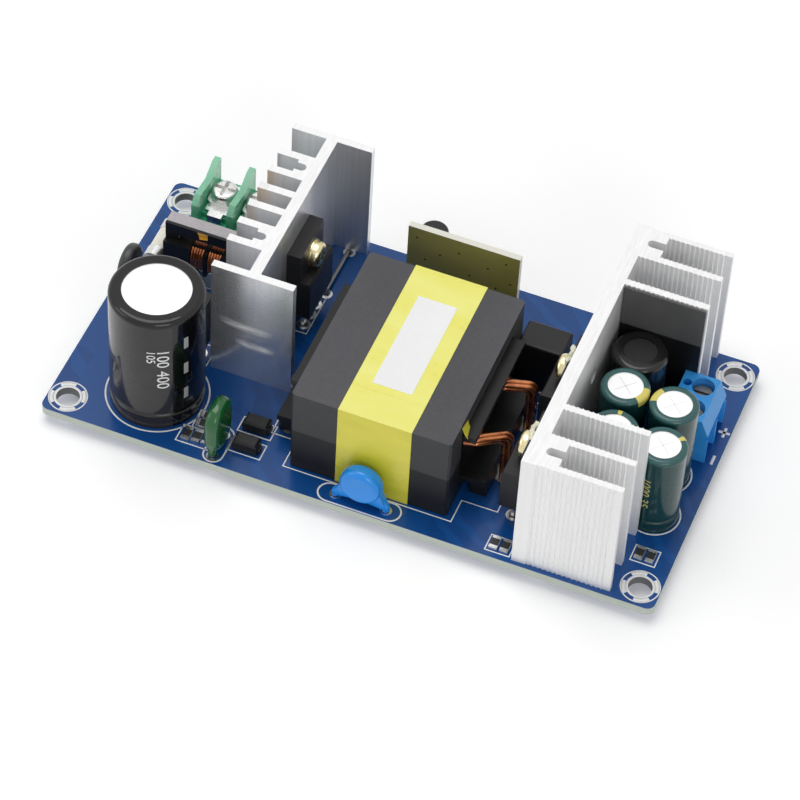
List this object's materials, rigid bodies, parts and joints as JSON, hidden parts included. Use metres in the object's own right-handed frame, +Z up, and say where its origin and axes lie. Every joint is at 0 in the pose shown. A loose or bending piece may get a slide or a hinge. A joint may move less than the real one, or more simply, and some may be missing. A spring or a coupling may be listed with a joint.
{
  "type": "open frame power supply",
  "caption": "Open frame mains power supply board with finned heatsinks, a taped transformer, capacitors, a mains screw terminal and a low voltage output terminal.",
  "frame": {"origin": "middle of the board in X and Y, at the height of the surface the part rests on", "axes": "+X along the board from the mains end to the output end, +Y to the board's rear long edge, +Z up"},
  "size_m": [0.11, 0.058, 0.0297],
  "materials": {
    "board_green_blue": "glossy solder mask",
    "solder": "bright",
    "plated_steel": "bright plated",
    "yellow_zinc": "yellow zinc plated",
    "sink_plain": "extruded",
    "sink_ribbed": "extruded, bright",
    "black_moulding": "fine matt",
    "pad_pale": "matt",
    "ferrite_dark": "satin",
    "ferrite_light": "satin",
    "black_bobbin": "satin",
    "copper_wire": "enamelled",
    "tinned_wire": "tinned",
    "fuse_ceramic": "satin",
    "thermistor_coat": "satin",
    "terminal_green": "slightly clear",
    "terminal_blue": "satin",
    "sleeve_dark": "shrunk film",
    "sleeve_teal": "shrunk film",
    "sleeve_black": "shrunk tube",
    "can_aluminium": "bright",
    "dip_green": "glossy dip",
    "dip_blue": "glossy dip",
    "chip_ceramic": "satin with tinned ends",
    "tape_yellow": "film tape",
    "tape_black": "film tape",
    "label_white": "smooth",
    "control_laminate": "bare laminate"
  },
  "bodies": {
    "root": {"circuit_board": "board_green_blue", "solder_joints": "solder", "heatsink_screws": "plated_steel", "primary_heatsink": "sink_plain", "secondary_heatsink": "sink_ribbed", "primary_transistor": "black_moulding", "transistor_legs": "tinned_wire", "transistor_screw": "yellow_zinc", "front_rectifier": "black_moulding", "rear_rectifier": "black_moulding", "rectifier_legs": "tinned_wire", "rectifier_screws": "yellow_zinc", "insulating_pads": "pad_pale", "bridge_rectifier": "black_moulding", "input_leads": "tinned_wire", "choke_core": "ferrite_light", "choke_bobbin": "black_bobbin", "choke_coil_left": "copper_wire", "choke_coil_right": "copper_wire", "fuse_body": "fuse_ceramic", "fuse_caps": "plated_steel", "thermistor": "thermistor_coat", "mains_terminal_housing": "terminal_green", "mains_terminal_contacts": "tinned_wire", "mains_terminal_washers": "plated_steel", "mains_terminal_screws": "plated_steel", "bulk_capacitor_sleeve": "sleeve_dark", "bulk_capacitor_can": "can_aluminium", "film_capacitor": "dip_green", "disc_capacitor": "dip_blue", "boxed_capacitor": "black_moulding", "capacitor_leads": "tinned_wire", "chip_parts": "chip_ceramic", "chip_diodes": "black_moulding", "transformer_core_bottom": "ferrite_dark", "transformer_core_top": "ferrite_dark", "transformer_bobbin": "black_bobbin", "transformer_winding": "tape_black", "transformer_tape": "tape_yellow", "transformer_label": "label_white", "transformer_pins": "tinned_wire", "front_lead_bundle": "copper_wire", "rear_lead_bundle": "copper_wire", "jumper_wire": "tinned_wire", "output_inductor_core": "ferrite_dark", "output_inductor_coil": "copper_wire", "output_inductor_sleeve": "sleeve_black", "output_inductor_leads": "tinned_wire", "insulating_sheet": "tape_black", "output_terminal_housing": "terminal_blue", "output_terminal_cages": "plated_steel", "output_terminal_screws": "plated_steel", "control_board": "control_laminate", "control_board_pins": "tinned_wire", "control_board_parts": "black_moulding", "small_capacitor": "sleeve_black", "optocoupler": "black_moulding", "output_capacitor_cans": "can_aluminium", "output_capacitor_sleeves": "sleeve_teal"}
  },
  "joints": []
}
